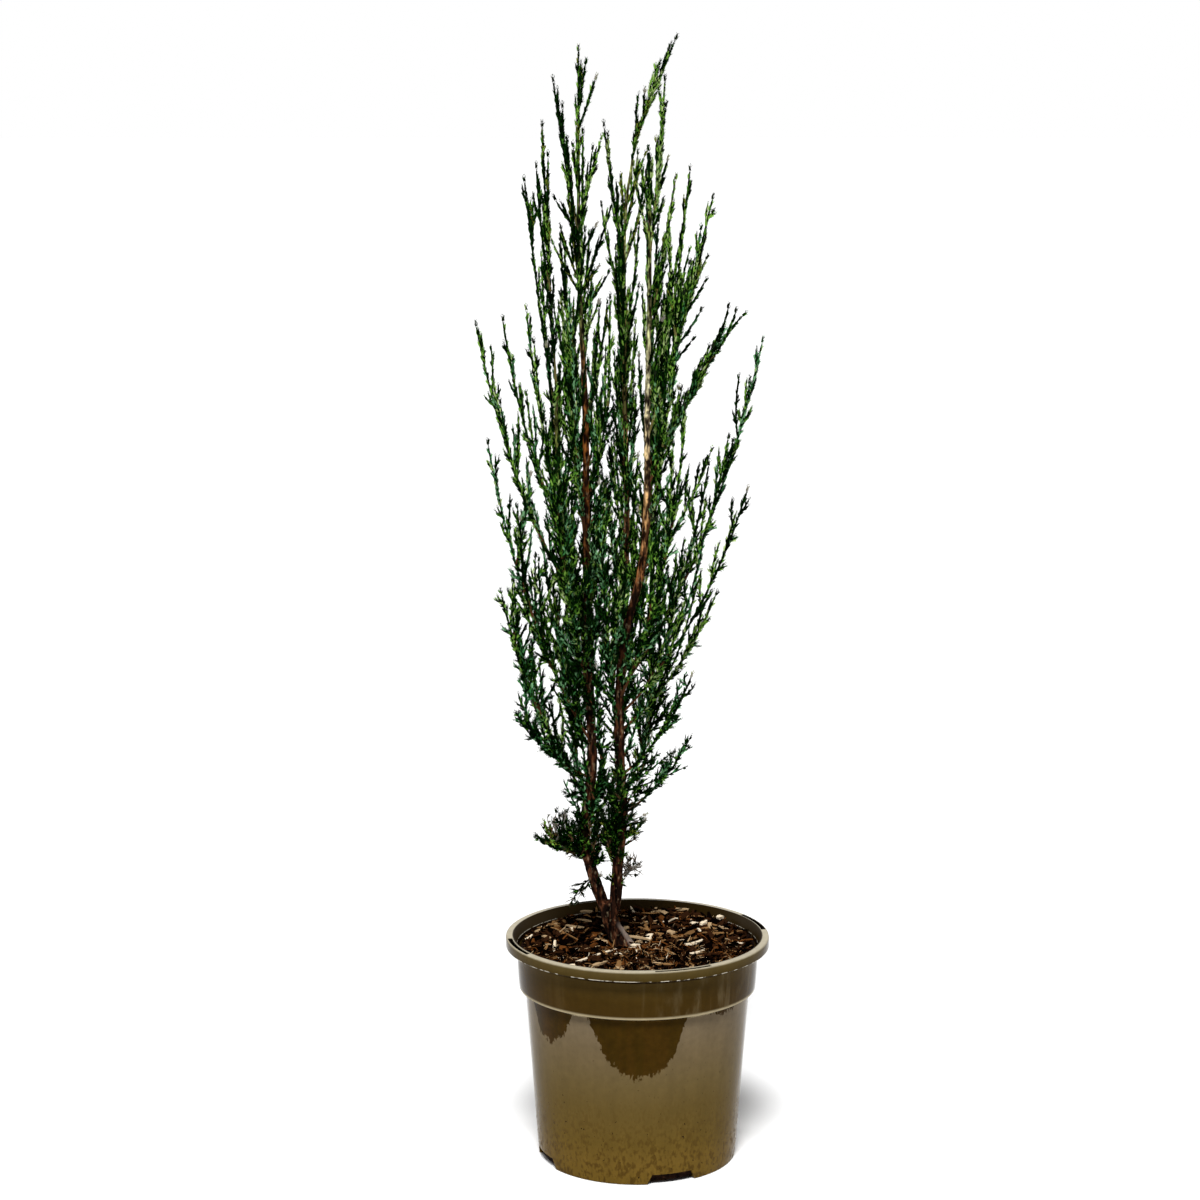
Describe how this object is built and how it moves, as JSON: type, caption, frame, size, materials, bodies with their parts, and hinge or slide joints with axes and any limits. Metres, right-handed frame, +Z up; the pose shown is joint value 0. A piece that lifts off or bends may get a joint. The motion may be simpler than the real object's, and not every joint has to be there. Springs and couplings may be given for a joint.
{
  "type": "potted rocky mountain juniper",
  "caption": "Slender upright conifer on several thin stems, with airy rising sprays of green scale leaves, in a round plastic nursery pot of bark-topped compost.",
  "frame": {"origin": "centre of the pot's flat underside", "axes": "+Z up along the plant, and the side that the picture shows faces -Y"},
  "size_m": [0.2805, 0.255, 1.077],
  "materials": {
    "pot_plastic": "glossy taupe injection-moulded plastic, damp in places, dusty near the foot",
    "compost": "damp dark compost under bark and wood chips",
    "bark": "thin red-brown bark that peels in fibres, greener towards the tips",
    "foliage": "satin green scale leaves",
    "dead_foliage": "dull grey-brown dead scale leaves"
  },
  "bodies": {
    "root": {"bough_left_out_high": "bark", "bough_left_out_low": "bark", "bough_left_out_mid": "bark", "bough_left_skirt": "bark", "bough_right_low_front": "bark", "bough_right_low_spray": "bark", "bough_right_out_high": "bark", "bough_right_out_mid": "bark", "mass_inner_high": "foliage", "mass_inner_low": "foliage", "mass_inner_mid": "foliage", "mass_leader_left": "foliage", "mass_leader_middle": "foliage", "mass_leader_right": "foliage", "mass_left_back_high": "foliage", "mass_left_back_low": "foliage", "mass_left_back_mid": "foliage", "mass_left_front_high": "foliage", "mass_left_front_mid": "foliage", "mass_left_hanging_twig": "foliage", "mass_left_low_outer": "foliage", "mass_left_out_back": "foliage", "mass_left_out_front": "foliage", "mass_left_out_high": "foliage", "mass_left_out_low": "foliage", "mass_left_out_mid": "foliage", "mass_left_skirt": "foliage", "mass_left_top_back": "foliage", "mass_left_top_front": "foliage", "mass_left_top_outer": "foliage", "mass_left_upper_inner": "foliage", "mass_left_upper_outer": "foliage", "mass_middle_back": "foliage", "mass_middle_front": "foliage", "mass_middle_left_shoot": "foliage", "mass_right_back_high": "foliage", "mass_right_back_low": "foliage", "mass_right_back_mid": "foliage", "mass_right_front_high": "foliage", "mass_right_front_mid": "foliage", "mass_right_grey_tuft": "dead_foliage", "mass_right_low_back": "foliage", "mass_right_low_front": "foliage", "mass_right_low_spray": "foliage", "mass_right_mid_back": "foliage", "mass_right_out_front": "foliage", "mass_right_out_high": "foliage", "mass_right_out_mid": "foliage", "mass_right_skirt": "foliage", "mass_right_top_inner": "foliage", "mass_right_top_outer": "foliage", "mass_right_upper_back": "foliage", "mass_right_upper_outer": "foliage", "pot": "pot_plastic", "soil": "compost", "stem_left": "bark", "stem_left_branch": "bark", "stem_middle": "bark", "stem_right": "bark", "trunk": "bark"}
  },
  "joints": []
}
